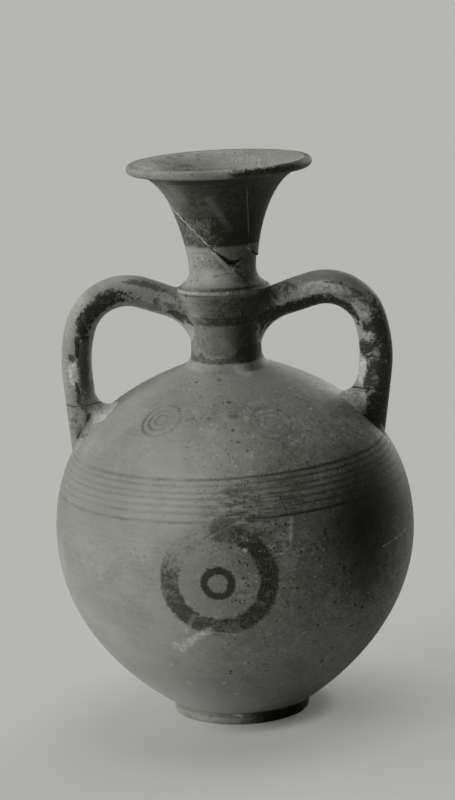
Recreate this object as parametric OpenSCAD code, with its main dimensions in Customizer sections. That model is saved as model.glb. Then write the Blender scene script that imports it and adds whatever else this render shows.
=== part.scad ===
// Two-handled jar of fired clay: a thrown round body on a ring foot, a ridged neck set into the shoulder,
// a flaring mouth and two rolled handles. The mouth and both handles were broken and are mended.
// Millimetres, +Z up, origin at the centre of the standing face.

/* [Body] */
// Widest diameter of the body
belly_d = 160; // [130:1:200]
// Height of the widest place above the standing face
belly_z = 84; // [68:1:102]
// Height of the body where the neck stands on it
body_h = 159; // [135:1:195]
// Thickness of the body's wall
wall = 6; // [4:0.5:9]
// Angle at which the body leaves the foot
foot_angle = 34; // [20:1:50]
// Length over which it keeps that angle
foot_sweep = 22; // [10:1:35]
// Roundness of the body below its widest place
lower_fullness = 41; // [25:1:55]
// Roundness of the body above its widest place
upper_fullness = 50; // [30:1:65]
// Slope of the shoulder at the neck
shoulder_angle = 21; // [10:1:35]
// Length over which it keeps that slope
shoulder_sweep = 27; // [12:1:40]

/* [Foot] */
// Outer diameter of the foot ring
foot_d = 61; // [48:1:76]
// Width of the ring it stands on
foot_face_w = 7; // [4:0.5:12]
// Height of the foot, with its luting
foot_h = 5; // [3:0.5:9]
// Rounding of the foot's lower edge
foot_round = 1; // [0.4:0.2:2]

/* [Neck] */
// Diameter of the neck where it stands on the shoulder
neck_d = 32; // [29:0.5:40]
// Height from the shoulder to the ridge
neck_h = 34.5; // [28:0.5:44]
// How far the lower neck draws in and keeps upright before it widens to the ridge
neck_sweep = 11; // [6:0.5:16]
// Diameter of the ridge
ridge_d = 41.6; // [37:0.2:50]
// Rounding of the ridge
ridge_round = 0.9; // [0.6:0.1:1.5]
// Slope of the flare between the ridge and the throat above it
ridge_slope = 37; // [28:1:46]
// Width of the plain face between the ridge and the groove above it
ridge_land = 0.8; // [0.4:0.1:1.5]
// Width of that groove
groove_w = 1.4; // [0.8:0.2:2.4]
// Depth of the groove
groove_depth = 0.5; // [0.3:0.1:0.9]
// Diameter of the hole through the neck
bore_d = 20; // [14:0.5:24]
// Wall of the spigot that goes into the body
spigot_wall = 3; // [2:0.5:4]
// How far the spigot stands proud inside the body
spigot_proud = 1; // [0.5:0.5:3]

/* [Mouth] */
// Height from the ridge to the top of the lip
mouth_h = 56.5; // [47:0.5:68]
// Diameter over the lip
mouth_d = 82; // [68:1:99]
// Thickness of the rounded lip
lip_t = 4.2; // [3:0.2:6]
// Diameter of the narrowest place above the ridge
throat_d = 29.8; // [27:0.2:36]
// Height of that place above the ridge
throat_rise = 9; // [7:0.5:11]
// Length over which the mouth stays upright above it
throat_sweep = 8.2; // [6:0.2:16]
// Slope of the mouth under the lip
flare_angle = 6.5; // [4:0.5:14]
// Length over which it keeps that slope
flare_sweep = 17.4; // [14:0.1:19]
// How much higher the inside starts to flare than the outside
inner_lag = 4; // [2:0.5:6]

/* [Handles, left then right] */
// Diameter of each handle
handle_d = [13.6, 14.8]; // [11:0.2:18]
// How far each handle starts below the ridge
handle_drop = [8.5, 9.8]; // [6:0.1:13]
// Angle at which each handle rises from the neck
handle_rise = [18.9, 16]; // [8:0.1:26]
// How far each handle stays inside the widest place of the body
handle_inset = [13.4, 13.8]; // [8:0.2:24]
// Radius of each handle's main bend
bend_r = [21.7, 20.7]; // [16:0.1:26]
// Turn of that bend
bend_turn = [92.9, 90.4]; // [80:0.1:100]
// Radius of the slower bend after it
drop_r = [63, 56]; // [40:1:80]
// Inward lean of the lower end
handle_lean = [4.6, 8.4]; // [1:0.1:12]

/* [Luting] */
// Thickness of the clay film between pieces
film = 0.6; // [0.3:0.1:1.2]
// Size of the bead around the foot of the neck
neck_bead = 2.4; // [1.2:0.2:4]
// How far the luting under a handle spreads on the neck
upper_luting_out = 1; // [0.4:0.2:3]
// How far it sits below the start of the handle
upper_luting_drop = 9; // [6:0.5:10]
// Length of that luting along the handle
upper_luting_len = 12; // [8:0.5:16]
// How far the luting around a handle spreads on the shoulder
lower_luting_out = 5; // [3:0.5:7]
// How far up the shoulder its middle is smeared
lower_luting_in = 5; // [4:0.5:6]
// Height of that luting above the shoulder
lower_luting_h = 8; // [6:0.5:10]
// How far both draw in to end within the handle
luting_taper = 1.5; // [1:0.1:2]

/* [Breaks] */
// Width of the mended gap in every break
mend_gap = 0.6; // [0.3:0.1:1.2]
// Height of the mouth's break above the ridge on the left
break_left_h = 38; // [30:0.5:44]
// Where it starts to fall, left of the middle
break_left_x = 22.5; // [16:0.5:26]
// Its lowest height above the ridge
break_low_h = 11.5; // [9:0.5:14]
// Place of the lowest point, right of the middle
break_low_x = 4.5; // [-4:0.5:6]
// Height of its peak above the ridge
break_peak_h = 19; // [15:0.5:24]
// Place of that peak, right of the middle
break_peak_x = 10; // [7.5:0.5:10.5]
// Its height above the ridge on the right
break_right_h = 14; // [11:0.5:18]
// Where it reaches that height, right of the middle
break_right_x = 15; // [13:0.5:18]
// Place of the crack through the lip, right of the middle
crack_x = 11.5; // [11:0.5:12.5]
// Height of each handle's break above the shoulder at its inner side, left then right
handle_break_h = [9.1, 9.9]; // [5:0.1:12]

/* [Hidden] */
$fn = 120;
curve_steps = 20;
arc_steps = 8;
bend_steps = 9;
handle_sides = 28;
LEFT = 0;
RIGHT = 1;
clay = "#8b8c82";
painted_clay = "#5a5b52";
luting_clay = "#7c7d73";
filler = "#b4b5ab";
belly_r = belly_d / 2;
foot_r = foot_d / 2;
foot_in_r = foot_r - foot_face_w;
neck_r = neck_d / 2;
bore_r = bore_d / 2;
spigot_r = bore_r + spigot_wall;
seat_r = spigot_r + film;
seat_z = body_h + film;
spigot_z = body_h - wall - spigot_proud;
ridge_z = body_h + neck_h;
ridge_r = ridge_d / 2;
throat_r = throat_d / 2;
throat_z = ridge_z + throat_rise;
mouth_r = mouth_d / 2;
height = ridge_z + mouth_h;
lip_r = lip_t / 2;
lip_centre = [mouth_r - lip_r, height - lip_r];
ridge_under_angle = -30;
ridge_over_angle = 90 - ridge_slope;
lip_under_angle = -104;
lip_inside_angle = 112;
reach = mouth_r + belly_r;
shelf_r = ridge_r - ridge_round;
ridge_top = [shelf_r, ridge_z] + polar(ridge_round, ridge_over_angle) + polar(ridge_land, 180 - ridge_slope);
groove_end = ridge_top + polar(groove_w, 180 - ridge_slope);
bore_top_z = throat_z - spigot_wall;

// Curves and outlines, each a list of [radius, height]

function polar(length, angle) = length * [cos(angle), sin(angle)];

function bezier(a, b, c, d) = [
    for (i = [0 : curve_steps])
        let (t = i / curve_steps, u = 1 - t)
        u * u * u * a + 3 * u * u * t * b + 3 * u * t * t * c + t * t * t * d
];

function arc(centre, radius, from, to) = [
    for (i = [0 : arc_steps])
        centre + polar(radius, from + (to - from) * i / arc_steps)
];

function reversed(points) = [for (i = [len(points) - 1 : -1 : 0]) points[i]];

// The body's line from the foot to the widest place, set in by a wall
function lower_line(inset) =
    let (start = [foot_r - inset, foot_h + inset])
    bezier(
        start,
        start + polar(foot_sweep, foot_angle),
        [belly_r - inset, belly_z - lower_fullness],
        [belly_r - inset, belly_z]
    );

// The body's line from the widest place to the neck, set in by a wall
function upper_line(inset) =
    let (end = [neck_r, body_h - inset])
    bezier(
        [belly_r - inset, belly_z],
        [belly_r - inset, belly_z + upper_fullness],
        end + polar(shoulder_sweep, -shoulder_angle),
        end
    );

// The outside of neck and mouth, from the shoulder to the lip
function neck_line() = concat(
    bezier(
        [neck_r, seat_z],
        [neck_r - ridge_round, seat_z + neck_sweep],
        [neck_r, ridge_z - neck_sweep],
        [ridge_r - ridge_round / 2, ridge_z - ridge_round]
    ),
    arc([shelf_r, ridge_z], ridge_round, ridge_under_angle, ridge_over_angle),
    [ridge_top, (ridge_top + groove_end) / 2 - polar(groove_depth, ridge_over_angle)]
);

function throat_line() =
    bezier(
        groove_end,
        groove_end + polar(throat_rise / 3, 180 - ridge_slope),
        [throat_r, (groove_end[1] + throat_z) / 2],
        [throat_r, throat_z]
    );

function funnel_line() =
    let (end = lip_centre + polar(lip_r, lip_under_angle))
    bezier(
        [throat_r, throat_z],
        [throat_r, throat_z + throat_sweep],
        end - polar(flare_sweep, flare_angle),
        end
    );

// The inside of the mouth, from the bore to the lip
function funnel_inside() =
    let (end = lip_centre + polar(lip_r, lip_inside_angle))
    bezier(
        [bore_r, bore_top_z],
        [bore_r, throat_z + throat_sweep + inner_lag],
        end - polar(flare_sweep, flare_angle),
        end
    );

function lip_line() = arc(lip_centre, lip_r, lip_under_angle, lip_inside_angle);

outside = concat(neck_line(), throat_line(), funnel_line(), lip_line());

// Solids that the pieces are cut from

module turned(points) {
    rotate_extrude()
        polygon(points);
}

// The body with its hollow filled, to cut whatever stands on it
module body_filled() {
    turned(concat([[0, foot_h]], lower_line(0), upper_line(0), [[0, body_h]]));
}

// The neck with its bore filled, to cut the handles
module neck_filled() {
    turned(concat([[0, seat_z]], neck_line(), throat_line(), [[0, throat_z]]));
}

// Neck and mouth in one, before the break
module neck_and_mouth() {
    turned(concat(
        [[bore_r, spigot_z], [spigot_r, spigot_z], [spigot_r, seat_z]],
        outside,
        reversed(funnel_inside())
    ));
}

// Everything above the mouth's break, moved up or down by half the mended gap
module above_break(shift) {
    line = [
        [-reach, break_left_h],
        [-break_left_x, break_left_h],
        [break_low_x, break_low_h],
        [break_peak_x, break_peak_h],
        [break_right_x, break_right_h],
        [reach, break_right_h]
    ];
    translate([0, reach, ridge_z + shift])
        rotate([90, 0, 0])
            linear_extrude(2 * reach)
                polygon(concat(line, [[reach, height], [-reach, height]]));
}

// A slab that stands across the mouth, between two places
module across(from, to) {
    translate([from, -reach, 0])
        cube([to - from, 2 * reach, 2 * height]);
}

// The level of the break in a handle, measured where the handle's inner side meets the shoulder
function handle_break_z(side) =
    lookup(belly_r - handle_inset[side] - handle_d[side] / 2, upper_line(0)) + handle_break_h[side];

// The length of a handle's straight start, so that its bends end at the set reach
function handle_start_len(side) =
    let (
        rise = handle_rise[side],
        after = rise - bend_turn[side],
        bend_x = bend_r[side] * (sin(rise) - sin(after)),
        drop_x = drop_r[side] * (sin(after) + 1)
    )
    (belly_r - handle_inset[side] - neck_r - bend_x - drop_x) / cos(rise);

// Stations [x, z, heading] along a bend that turns down from a station
function bend_stations(start, radius, turn) = [
    for (i = [1 : bend_steps])
        let (heading = start[2] - turn * i / bend_steps)
        [
            start[0] + radius * (sin(start[2]) - sin(heading)),
            start[1] + radius * (cos(heading) - cos(start[2])),
            heading
        ]
];

// A station further along a straight
function ahead(station, length) =
    [station[0] + length * cos(station[2]), station[1] + length * sin(station[2]), station[2]];

// Where a handle starts on the neck
function handle_on_neck(side) = [neck_r, ridge_z - handle_drop[side], handle_rise[side]];

// The middle line of a handle, from inside the neck, over the arch and down into the body
function handle_stations(side) =
    let (
        on_neck = handle_on_neck(side),
        arch = ahead(on_neck, handle_start_len(side)),
        bend = bend_stations(arch, bend_r[side], bend_turn[side]),
        drop_turn = 90 + handle_rise[side] - bend_turn[side] + handle_lean[side],
        drop = bend_stations(bend[bend_steps - 1], drop_r[side], drop_turn)
    )
    concat(
        [ahead(on_neck, -bore_r), arch],
        bend,
        drop,
        [ahead(drop[bend_steps - 1], body_h - belly_z)]
    );

// The whole rolled handle as one sweep along its middle line, on the +X side
module handle_roll(side) {
    stations = handle_stations(side);
    last = len(stations) - 1;
    radius = handle_d[side] / 2;
    points = [
        for (s = stations)
            for (k = [0 : handle_sides - 1])
                let (around = 360 * k / handle_sides, out = radius * cos(around))
                [s[0] - out * sin(s[2]), radius * sin(around), s[1] + out * cos(s[2])]
    ];
    skin = [
        for (i = [0 : last - 1])
            for (k = [0 : handle_sides - 1])
                let (next = (k + 1) % handle_sides, row = i * handle_sides)
                [row + k, row + next, row + handle_sides + next, row + handle_sides + k]
    ];
    start_cap = [[for (k = [handle_sides - 1 : -1 : 0]) k]];
    end_cap = [[for (k = [0 : handle_sides - 1]) last * handle_sides + k]];
    polyhedron(points, concat(skin, start_cap, end_cap));
}

// A cone between two places [x, z] in the plane of the handles
module flare(from, to, from_r, to_r) {
    run = to - from;
    translate([from[0], 0, from[1]])
        rotate([0, 90 - atan2(run[1], run[0]), 0])
            cylinder(r1 = from_r, r2 = to_r, h = norm(run));
}

// A layer of the handle between two levels
module handle_layer(side, from, to) {
    intersection() {
        handle_roll(side);
        translate([0, -reach, from])
            cube([reach, 2 * reach, to - from]);
    }
}

module on_side(side) {
    mirror([side == LEFT ? 1 : 0, 0, 0])
        children();
}

// The pieces

module body() {
    color(clay)
        turned(concat(
            [[0, foot_h]],
            lower_line(0),
            upper_line(0),
            [[seat_r, body_h], [seat_r, body_h - wall]],
            reversed(upper_line(wall)),
            reversed(lower_line(wall)),
            [[0, foot_h + wall]]
        ));
}

module foot_ring() {
    color(clay)
        turned([
            [foot_in_r, 0],
            [foot_r - foot_round, 0],
            [foot_r, foot_round],
            [foot_r, foot_h - film],
            [foot_in_r, foot_h - film]
        ]);
}

module foot_luting() {
    color(luting_clay)
        translate([0, 0, foot_h - film])
            difference() {
                cylinder(r = foot_r, h = film);
                translate([0, 0, -film])
                    cylinder(r = foot_in_r, h = 3 * film);
            }
}

module neck() {
    color(painted_clay)
        difference() {
            neck_and_mouth();
            above_break(-mend_gap / 2);
        }
}

// A film around the spigot and under the neck, with a bead in the corner outside
module neck_luting() {
    color(luting_clay)
        difference() {
            turned([
                [spigot_r, body_h - wall],
                [seat_r, body_h - wall],
                [seat_r, body_h - neck_bead],
                [neck_r + neck_bead, body_h - neck_bead],
                [neck_r, seat_z + neck_bead],
                [spigot_r, seat_z + neck_bead]
            ]);
            body();
            neck_and_mouth();
        }
}

module mouth_left_sherd() {
    color(painted_clay)
        intersection() {
            neck_and_mouth();
            above_break(mend_gap / 2);
            across(-reach, crack_x - mend_gap / 2);
        }
}

module mouth_right_sherd() {
    color(painted_clay)
        intersection() {
            neck_and_mouth();
            above_break(mend_gap / 2);
            across(crack_x + mend_gap / 2, reach);
        }
}

module mouth_mend() {
    color(filler)
        difference() {
            intersection() {
                neck_and_mouth();
                above_break(-mend_gap / 2);
            }
            difference() {
                above_break(mend_gap / 2);
                across(crack_x - mend_gap / 2, crack_x + mend_gap / 2);
            }
        }
}

module handle(side) {
    color(painted_clay)
        on_side(side)
            difference() {
                handle_layer(side, handle_break_z(side) + mend_gap / 2, height);
                neck_filled();
            }
}

module handle_root(side) {
    color(painted_clay)
        on_side(side)
            difference() {
                handle_layer(side, belly_z, handle_break_z(side) - mend_gap / 2);
                body_filled();
            }
}

module handle_mend(side) {
    color(filler)
        on_side(side)
            handle_layer(side, handle_break_z(side) - mend_gap / 2, handle_break_z(side) + mend_gap / 2);
}

module upper_luting(side) {
    radius = handle_d[side] / 2;
    end = ahead(handle_on_neck(side), upper_luting_len);
    color(luting_clay)
        on_side(side)
            difference() {
                flare(
                    [neck_r - radius, ridge_z - handle_drop[side] - upper_luting_drop],
                    [end[0], end[1]],
                    radius + upper_luting_out,
                    radius - luting_taper
                );
                neck_filled();
                handle_roll(side);
            }
}

module lower_luting(side) {
    radius = handle_d[side] / 2;
    middle_r = belly_r - handle_inset[side] - lower_luting_in;
    middle = [middle_r, lookup(middle_r, upper_line(0))];
    slope = lookup(middle_r - 1, upper_line(0)) - lookup(middle_r, upper_line(0));
    outward = atan2(1, slope);
    draft = (lower_luting_out + luting_taper) / lower_luting_h;
    color(luting_clay)
        on_side(side)
            difference() {
                flare(
                    middle - polar(wall, outward),
                    middle + polar(lower_luting_h, outward),
                    radius + lower_luting_out + draft * wall,
                    radius - luting_taper
                );
                body_filled();
                handle_roll(side);
            }
}

body();
foot_ring();
foot_luting();
neck();
neck_luting();
mouth_left_sherd();
mouth_right_sherd();
mouth_mend();
handle(LEFT);  // left_handle
handle_root(LEFT);  // left_handle_root
handle_mend(LEFT);  // left_handle_mend
upper_luting(LEFT);  // left_upper_luting
lower_luting(LEFT);  // left_lower_luting
handle(RIGHT);  // right_handle
handle_root(RIGHT);  // right_handle_root
handle_mend(RIGHT);  // right_handle_mend
upper_luting(RIGHT);  // right_upper_luting
lower_luting(RIGHT);  // right_lower_luting
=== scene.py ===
"""Two-handled jar of fired clay, mended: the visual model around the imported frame.

Sizes are in millimetres until a mesh is made. phi is the angle round the jar's axis, 0 towards the viewer and
90 degrees towards the right handle."""

import bpy
import numpy as np
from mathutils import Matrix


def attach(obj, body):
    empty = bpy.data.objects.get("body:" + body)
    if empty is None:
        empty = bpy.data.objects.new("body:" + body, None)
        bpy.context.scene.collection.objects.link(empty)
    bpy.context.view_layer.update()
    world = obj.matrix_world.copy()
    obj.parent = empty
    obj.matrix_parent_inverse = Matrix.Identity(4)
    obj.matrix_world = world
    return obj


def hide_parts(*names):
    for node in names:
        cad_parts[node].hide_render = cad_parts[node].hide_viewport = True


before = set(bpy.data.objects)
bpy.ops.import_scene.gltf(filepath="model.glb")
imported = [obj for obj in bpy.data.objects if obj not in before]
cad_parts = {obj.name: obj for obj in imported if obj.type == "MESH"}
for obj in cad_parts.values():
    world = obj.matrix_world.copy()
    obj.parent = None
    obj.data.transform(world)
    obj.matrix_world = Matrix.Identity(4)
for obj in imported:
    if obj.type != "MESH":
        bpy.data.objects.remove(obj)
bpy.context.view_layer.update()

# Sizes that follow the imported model
MM = 0.001
# One unit, in millimetres, of the numbers that a piece carries at each point
SKIN_UNIT = 100.0
TURN = 2 * np.pi
FOOT_R = 30.5
FOOT_IN_R = 23.5
FOOT_H = 5.0
FILM = 0.6
BELLY_R = 80.0
BELLY_Z = 84.0
BODY_H = 159.0
WALL = 6.0
NECK_R = 16.0
SEAT_Z = BODY_H + FILM
SEAT_R = 13.6
SPIGOT_R = 13.0
SPIGOT_Z = 152.0
BORE_R = 10.0
BORE_TOP = 199.5
RIDGE_R = 20.8
RIDGE_Z = 193.5
RIDGE_ROUND = 0.9
RIDGE_SLOPE = 37.0
RIDGE_LAND = 0.8
GROOVE_W = 1.4
GROOVE_DEPTH = 0.5
THROAT_R = 14.9
THROAT_Z = RIDGE_Z + 9
LIP_R = 2.1
LIP_CENTRE = np.array([38.9, 247.9])
LIP_START = -104
LIP_STOP = 112
THROAT_SWEEP = 8.2
FLARE_ANGLE = 6.5
FLARE_SWEEP = 17.4
INNER_LAG = 4.0
GAP = 0.6
CRACK_X = 11.5
MOUTH_SHIFT = 0.4
SHERD_STEP = 0.4
# Each handle: its side, the roll's radius, its drop below the ridge, its rise, its inset from the belly,
# radius and turn of the main bend, radius of the slow bend, its lean, its break's height, its smear's reach
HANDLES = {
    "left": dict(
        side=-1, radius=6.8, drop=8.5, rise=18.9, inset=13.4, bend=21.7, turn=92.9, slow=63.0, lean=4.6,
        snap=143.5, smear=12.5
    ),
    "right": dict(
        side=1, radius=7.4, drop=9.8, rise=16.0, inset=13.8, bend=20.7, turn=90.4, slow=56.0, lean=8.4,
        snap=145.2, smear=11.0
    ),
}

# The mouth's break as it crosses the jar, left to right, [x, z]
BREAK = np.array([
    [-120, 231.5], [-22.5, 231.5], [-18.8, 227.6], [-7.6, 216.0], [-2.4, 210.9], [0.5, 207.9], [2.5, 206.3],
    [4.5, 205.6], [6.8, 206.3], [8.3, 208.0], [9.3, 210.2], [10.2, 212.5], [11.6, 211.6], [15.2, 207.5],
    [120, 207.5]
])


# Lines and places

def polar(length, degrees):
    """A step of a length at an angle, as [across, up]."""
    return length * np.array([np.cos(np.radians(degrees)), np.sin(np.radians(degrees))])


def bezier(a, b, c, d, steps=80):
    """The cubic that leaves a towards b and reaches d from c: the four points by their shares of t."""
    t = np.linspace(0, 1, steps).reshape((-1,) + (1,) * np.ndim(a))
    a, b, c, d = (np.asarray(p, float) for p in (a, b, c, d))
    return (1 - t) ** 3 * a + 3 * (1 - t) ** 2 * t * b + 3 * (1 - t) * t ** 2 * c + t ** 3 * d


def arc(centre, radius, start, stop, steps=24):
    """Part of a circle between two angles."""
    angle = np.radians(np.linspace(start, stop, steps))
    return np.asarray(centre) + radius * np.stack([np.cos(angle), np.sin(angle)], -1)


def joined(*lines):
    """Lines end to end, without the points that repeat."""
    line = np.vstack(lines)
    step = np.hypot(*np.diff(line, axis=0).T)
    return line[np.append(True, step > 1e-6)]


def run_of(line):
    """The length along a line at each of its points."""
    return np.append(0, np.cumsum(np.hypot(*np.diff(line, axis=0).T)))


def along(line, run):
    """Radius and height at lengths along a line, by straight steps between its points."""
    lengths = run_of(line)
    return np.interp(run, lengths, line[:, 0]), np.interp(run, lengths, line[:, 1])


def spaced(line, count):
    """A line with so many points at even lengths."""
    return np.stack(along(line, np.linspace(0, run_of(line)[-1], count)), -1)


def softened(line, rounds=2):
    """Each corner cut at a quarter and three quarters of its sides, again and again, so that it rounds."""
    for _ in range(rounds):
        early = 0.75 * line[:-1] + 0.25 * line[1:]
        late = 0.25 * line[:-1] + 0.75 * line[1:]
        inner = np.stack([early, late], 1).reshape(-1, 2)
        line = np.vstack([line[:1], inner, line[-1:]])
    return line


def soft_step(value, low, high):
    """0 up to low, 1 past high, and a smooth rise between."""
    t = np.clip((value - low) / (high - low), 0, 1)
    return t * t * (3 - 2 * t)


def lower_line(inset):
    """The body from foot to belly, set in by a wall."""
    start = np.array([FOOT_R - inset, FOOT_H + inset])
    belly = BELLY_R - inset
    return bezier(start, start + polar(22, 34), [belly, BELLY_Z - 41], [belly, BELLY_Z], 120)


def upper_line(inset):
    """The body from belly to neck, set in by a wall."""
    end = np.array([NECK_R, BODY_H - inset])
    belly = BELLY_R - inset
    return bezier([belly, BELLY_Z], [belly, BELLY_Z + 50], end + polar(27, -21), end, 120)


BODY_OUT = joined(lower_line(0), upper_line(0))
BODY_IN = joined(lower_line(WALL), upper_line(WALL))
NECK_LOWER = bezier(
    [NECK_R, SEAT_Z], [NECK_R - RIDGE_ROUND, SEAT_Z + 11], [NECK_R, RIDGE_Z - 11],
    [RIDGE_R - RIDGE_ROUND / 2, RIDGE_Z - RIDGE_ROUND]
)
RIDGE = arc([RIDGE_R - RIDGE_ROUND, RIDGE_Z], RIDGE_ROUND, -30, 90 - RIDGE_SLOPE)
GROOVE_START = RIDGE[-1] + polar(RIDGE_LAND, 180 - RIDGE_SLOPE)
GROOVE_END = GROOVE_START + polar(GROOVE_W, 180 - RIDGE_SLOPE)
GROOVE_LOW = (GROOVE_START + GROOVE_END) / 2 - polar(GROOVE_DEPTH, 90 - RIDGE_SLOPE)
GROOVE = softened(np.array([RIDGE[-1], GROOVE_START, GROOVE_LOW, GROOVE_END]), 1)
THROAT = bezier(
    GROOVE_END, GROOVE_END + polar(3, 180 - RIDGE_SLOPE), [THROAT_R, (GROOVE_END[1] + THROAT_Z) / 2],
    [THROAT_R, THROAT_Z]
)
LIP_UNDER = LIP_CENTRE + polar(LIP_R, LIP_START)
LIP_INSIDE = LIP_CENTRE + polar(LIP_R, LIP_STOP)
FUNNEL = bezier(
    [THROAT_R, THROAT_Z], [THROAT_R, THROAT_Z + THROAT_SWEEP], LIP_UNDER - polar(FLARE_SWEEP, FLARE_ANGLE),
    LIP_UNDER, 240
)
CREASE = 0.3 * np.exp(-(((run_of(FUNNEL)[-1] - run_of(FUNNEL)) - 0.8) / 0.6) ** 2)
FUNNEL = FUNNEL + CREASE[:, None] * polar(1, FLARE_ANGLE + 90)
LIP = arc(LIP_CENTRE, LIP_R, LIP_START, LIP_STOP, 60)
NECK_OUT = joined(NECK_LOWER, RIDGE, GROOVE, THROAT, FUNNEL, LIP)
NECK_FIXED = run_of(joined(NECK_LOWER, RIDGE, GROOVE))[-1]
NECK_IN = joined(
    np.array([[BORE_R, SPIGOT_Z], [BORE_R, BORE_TOP]]),
    bezier(
        [BORE_R, BORE_TOP], [BORE_R, THROAT_Z + THROAT_SWEEP + INNER_LAG],
        LIP_INSIDE - polar(FLARE_SWEEP, FLARE_ANGLE), LIP_INSIDE, 240
    ),
)


def sway(phi, z):
    """The potter's unevenness in millimetres: three slow waves round the jar and the wheel's fine spiral."""
    slow = 0.26 * np.sin(2 * phi + 0.7) + 0.16 * np.sin(3 * phi - z / 31)
    slow = slow + 0.12 * np.sin(5 * phi + z / 17 + 2)
    wheel = 0.035 * np.sin(2.1 * z + phi) + 0.03 * np.sin(3.3 * z + 2 * np.sin(phi))
    return slow + wheel


def ruffle(a, b, seed):
    """A smooth uneven number, about -1 to 1, at two coordinates: a sum of six waves in seeded directions."""
    pick = np.random.default_rng(seed)
    angle, shift = pick.uniform(0, TURN, (2, 6))
    total = 0
    for k in range(6):
        pace = 1.35 ** k
        total = total + np.sin(pace * (a * np.cos(angle[k]) + b * np.sin(angle[k])) + shift[k]) / pace
    return total / 2.4


def around(r, phi, z):
    """The place at a radius, angle and height, with the potter's unevenness, which dies out at the axis."""
    r = r + sway(phi, z) * np.clip(r / 20, 0, 1)
    return np.stack(np.broadcast_arrays(r * np.sin(phi), -r * np.cos(phi), z), -1)


def turned(line, columns):
    """A line of [radius, height] carried once round the axis."""
    phi = np.linspace(0, TURN, columns, endpoint=False)
    return around(line[:, :1], phi, line[:, 1:])


def lift(place):
    """How much higher a place on neck or mouth stands than on an upright one: ridge and lip lean back a
    little, so that their front is raised and their back lowered, and the ridge has sagged."""
    x, y, z = np.moveaxis(place, -1, 0)
    tilt = soft_step(z, 165, 190) * (0.008 * x - 0.047 * y)
    return tilt - 0.9 * soft_step(z, 180, 191) + 0.5 * soft_step(z, 200, 240)


def leaned(place, outer):
    """Places on neck or mouth as they lean, then the upright places in skin units, then 1 on the outside."""
    moved = place.copy()
    moved[..., 2] += lift(place)
    side = np.broadcast_to(outer, place.shape[:-1])[..., None]
    return np.concatenate([moved, place / SKIN_UNIT, side], -1)


# Meshes

def grid_faces(rows, columns, wrap_rows, wrap_columns):
    """Four corners for each cell of a grid of points, numbered row by row, closed or open either way."""
    i, j = np.meshgrid(
        np.arange(rows - (not wrap_rows)), np.arange(columns - (not wrap_columns)), indexing="ij"
    )
    below = i * columns
    above = (i + 1) % rows * columns
    after = (j + 1) % columns
    return np.stack([below + j, below + after, above + after, above + j], -1).reshape(-1, 4)


def tube(grid):
    """Points and faces of a grid closed round its columns, with fans to the middles of its end rows."""
    rows, columns, depth = grid.shape
    points = np.vstack([grid.reshape(-1, depth), grid[0].mean(0), grid[-1].mean(0)])
    here = np.arange(columns)
    after = (here + 1) % columns
    last = (rows - 1) * columns
    start = np.stack([after, here, np.full(columns, rows * columns)], -1)
    stop = np.stack([last + here, last + after, np.full(columns, rows * columns + 1)], -1)
    return points, grid_faces(rows, columns, False, True), np.vstack([start, stop])


def ring(grid):
    """Points and faces of a grid closed both ways."""
    rows, columns, depth = grid.shape
    return grid.reshape(-1, depth), grid_faces(rows, columns, True, True), np.zeros((0, 3), int)


def slice_of_ring(grid):
    """Points and faces of a grid closed round its rows only, its two open ends filled across."""
    rows, columns, depth = grid.shape
    half = np.arange(rows // 2 - 1)
    back = rows - 1 - half
    end = np.stack([half, half + 1, back - 1, back], -1) * columns
    ends = np.vstack([end, end[:, ::-1] + columns - 1])
    faces = np.vstack([grid_faces(rows, columns, True, False), ends])
    return grid.reshape(-1, depth), faces, np.zeros((0, 3), int)


def outward(points, quads, corners):
    """The same faces, turned round if the volume that they close is negative."""
    triangles = np.vstack([quads[:, :3], quads[:, [0, 2, 3]], corners])
    a, b, c = (points[triangles[:, k], :3] for k in range(3))
    if (a * np.cross(b, c)).sum() < 0:
        return quads[:, ::-1], corners[:, ::-1]
    return quads, corners


def make(node, shells, finish):
    """The piece that stands for a CAD node, from one or more closed shells: placed in metres, shaded smooth
    except at sharp edges. Further numbers a point become the attributes that the finishes read."""
    points = np.zeros((0, shells[0][0].shape[1]))
    faces = []
    for shell_points, quads, corners in shells:
        quads, corners = outward(shell_points, quads, corners)
        faces += (quads + len(points)).tolist() + (corners + len(points)).tolist()
        points = np.vstack([points, shell_points])
    mesh = bpy.data.meshes.new(node + "_surface")
    mesh.from_pydata((points[:, :3] * MM).tolist(), [], faces)
    if points.shape[1] > 3:
        skin = mesh.attributes.new("skin", "FLOAT_VECTOR", "POINT")
        skin.data.foreach_set("vector", points[:, 3:6].astype(np.float32).ravel())
    if points.shape[1] > 6:
        outer = mesh.attributes.new("outer", "FLOAT", "POINT")
        outer.data.foreach_set("value", points[:, 6].astype(np.float32).ravel())
    mesh.shade_smooth()
    mesh.set_sharp_from_angle(angle=np.radians(50))
    mesh.materials.append(finish)
    piece = bpy.data.objects.new(node + "_surface", mesh)
    bpy.context.scene.collection.objects.link(piece)
    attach(piece, "root")
    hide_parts(node)


# Shapes of the pieces

def body_shell():
    """The body's outside, the neck's seat and the inside, turned as one closed line from axis to axis."""
    base = np.stack([np.linspace(1.5, FOOT_R, 24), np.full(24, FOOT_H)], -1)
    base[:, 1] += 0.5 * np.cos(base[:, 0] / 23 * np.pi) * (base[:, 0] < 23) + 0.06 * np.sin(base[:, 0] * 2.2)
    seat = np.array([[SEAT_R, BODY_H], [SEAT_R, BODY_H - WALL]])
    inside = spaced(BODY_IN, 80)[::-1]
    inside[:, 0] += 0.25 * np.sin(inside[:, 1] * 0.9)
    floor = np.stack([np.linspace(FOOT_R - WALL, 1.5, 10), np.full(10, FOOT_H + WALL)], -1)
    return tube(turned(joined(base, spaced(BODY_OUT, 200), seat, inside, floor), 240))


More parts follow.
